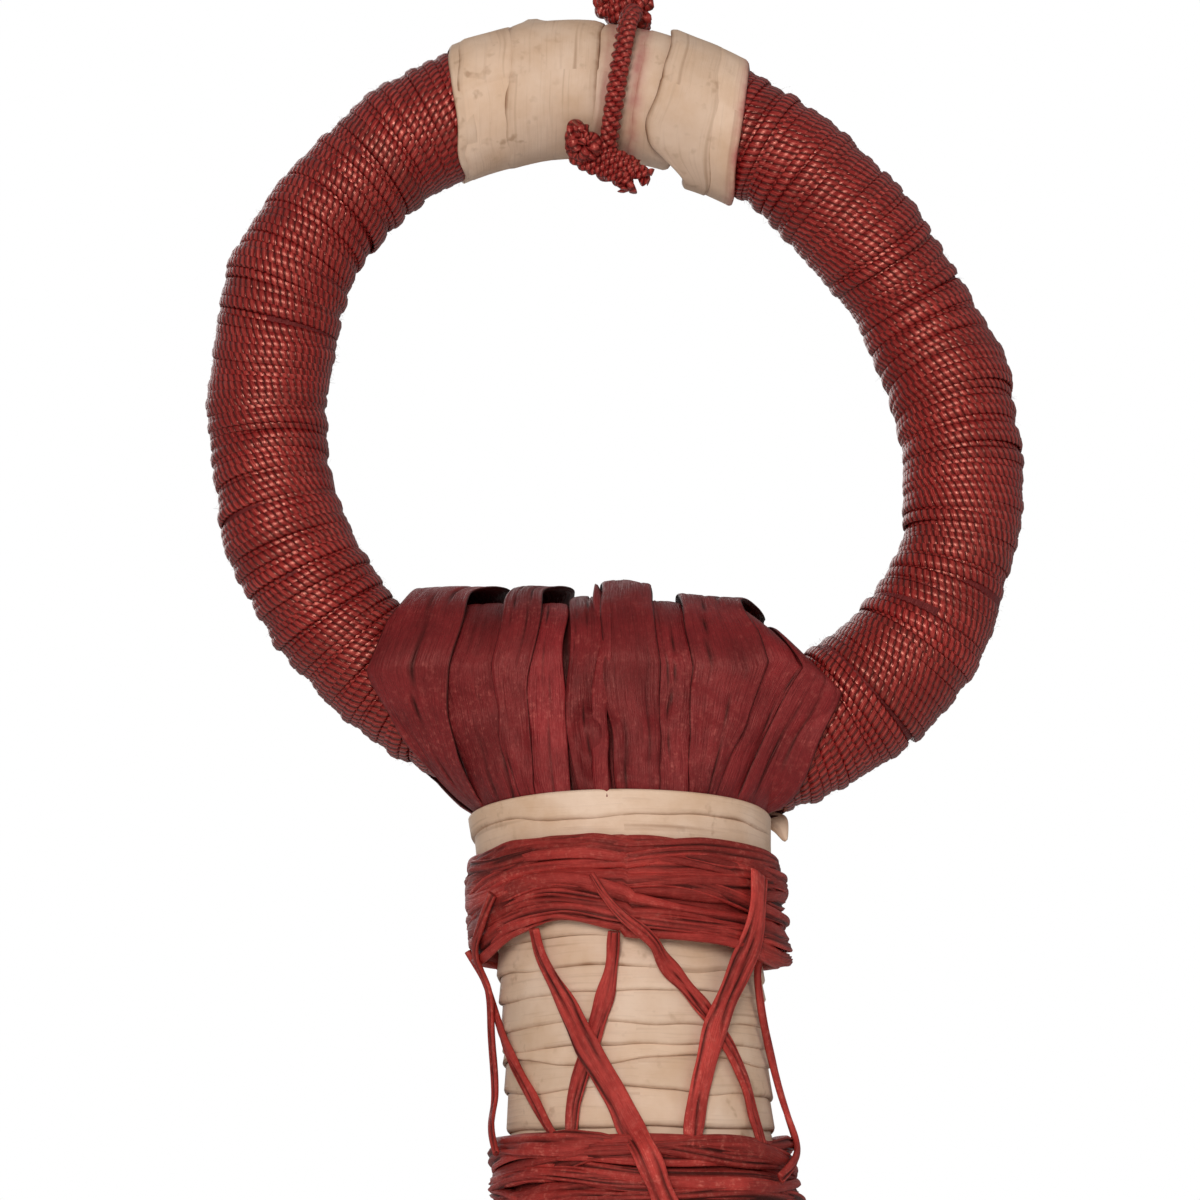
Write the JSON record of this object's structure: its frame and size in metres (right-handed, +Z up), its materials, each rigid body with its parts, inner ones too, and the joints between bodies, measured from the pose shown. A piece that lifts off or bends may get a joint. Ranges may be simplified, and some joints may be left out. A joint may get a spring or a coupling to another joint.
{
  "type": "ring-handled raffia whisk",
  "caption": "Raffia whisk with a thread-wound ring handle, a husk-wrapped neck with crossed lacing, and a loose skirt of raffia strips that swings below it.",
  "frame": {"origin": "middle of the eye of the ring, in the ring's own middle plane", "axes": "+Z up along the whisk, from its hem towards the ring's crown; +Y through the ring's eye, away from the side that the lacing's first crossings are on; +X to the right seen from that side"},
  "size_m": [0.148, 0.058, 0.3923],
  "materials": {
    "cane": "matte",
    "husk": "satin",
    "thread": "satin",
    "tie_cord": "matte",
    "raffia_fold": "satin",
    "raffia_lashing": "satin",
    "raffia_skirt": "satin"
  },
  "bodies": {
    "handle": {"ring_cane": "cane", "ring_padding": "husk", "ring_winding": "thread", "crown_wrap_1": "husk", "crown_wrap_2": "husk", "crown_wrap_3": "husk", "crown_wrap_4": "husk", "crown_tie_front": "tie_cord", "crown_tie_back": "tie_cord", "crown_tie_top_knot": "tie_cord", "crown_tie_lower_knot": "tie_cord", "crown_tie_tail_left": "tie_cord", "crown_tie_tail_right": "tie_cord", "fold_core": "raffia_fold", "fold_twist": "raffia_fold", "fold_strip_1": "raffia_fold", "fold_strip_2": "raffia_fold", "fold_strip_3": "raffia_fold", "fold_strip_4": "raffia_fold", "fold_strip_5": "raffia_fold", "fold_strip_6": "raffia_fold", "fold_strip_7": "raffia_fold", "fold_strip_8": "raffia_fold", "fold_strip_9": "raffia_fold", "fold_strip_10": "raffia_fold", "hank_core": "raffia_fold", "neck_collar": "husk", "collar_tail": "husk", "husk_course_1": "husk", "husk_course_2": "husk", "husk_course_3": "husk", "husk_course_4": "husk", "husk_course_5": "husk", "husk_course_6": "husk", "husk_course_7": "husk", "husk_course_8": "husk", "husk_course_9": "husk", "upper_band_turn_1": "raffia_lashing", "upper_band_turn_2": "raffia_lashing", "upper_band_turn_3": "raffia_lashing", "upper_band_turn_4": "raffia_lashing", "upper_band_turn_5": "raffia_lashing", "lower_band_turn_1": "raffia_lashing", "lower_band_turn_2": "raffia_lashing", "lower_band_turn_3": "raffia_lashing", "lower_band_turn_4": "raffia_lashing", "lower_band_turn_5": "raffia_lashing", "lace_1": "raffia_lashing", "lace_2": "raffia_lashing", "lace_3": "raffia_lashing", "lace_4": "raffia_lashing", "lace_5": "raffia_lashing", "lace_6": "raffia_lashing", "lace_7": "raffia_lashing", "lace_8": "raffia_lashing", "lace_9": "raffia_lashing", "lace_10": "raffia_lashing", "lace_11": "raffia_lashing", "mouth_collar": "husk"},
    "skirt": {"skirt": "raffia_skirt"}
  },
  "joints": [
    {"name": "skirt_sway", "type": "hinge", "parent": "handle", "child": "skirt", "pos_m": [0.00465, 0, -0.1255], "axis": [0, 1, 0], "range_deg": [-20, 20]}
  ]
}
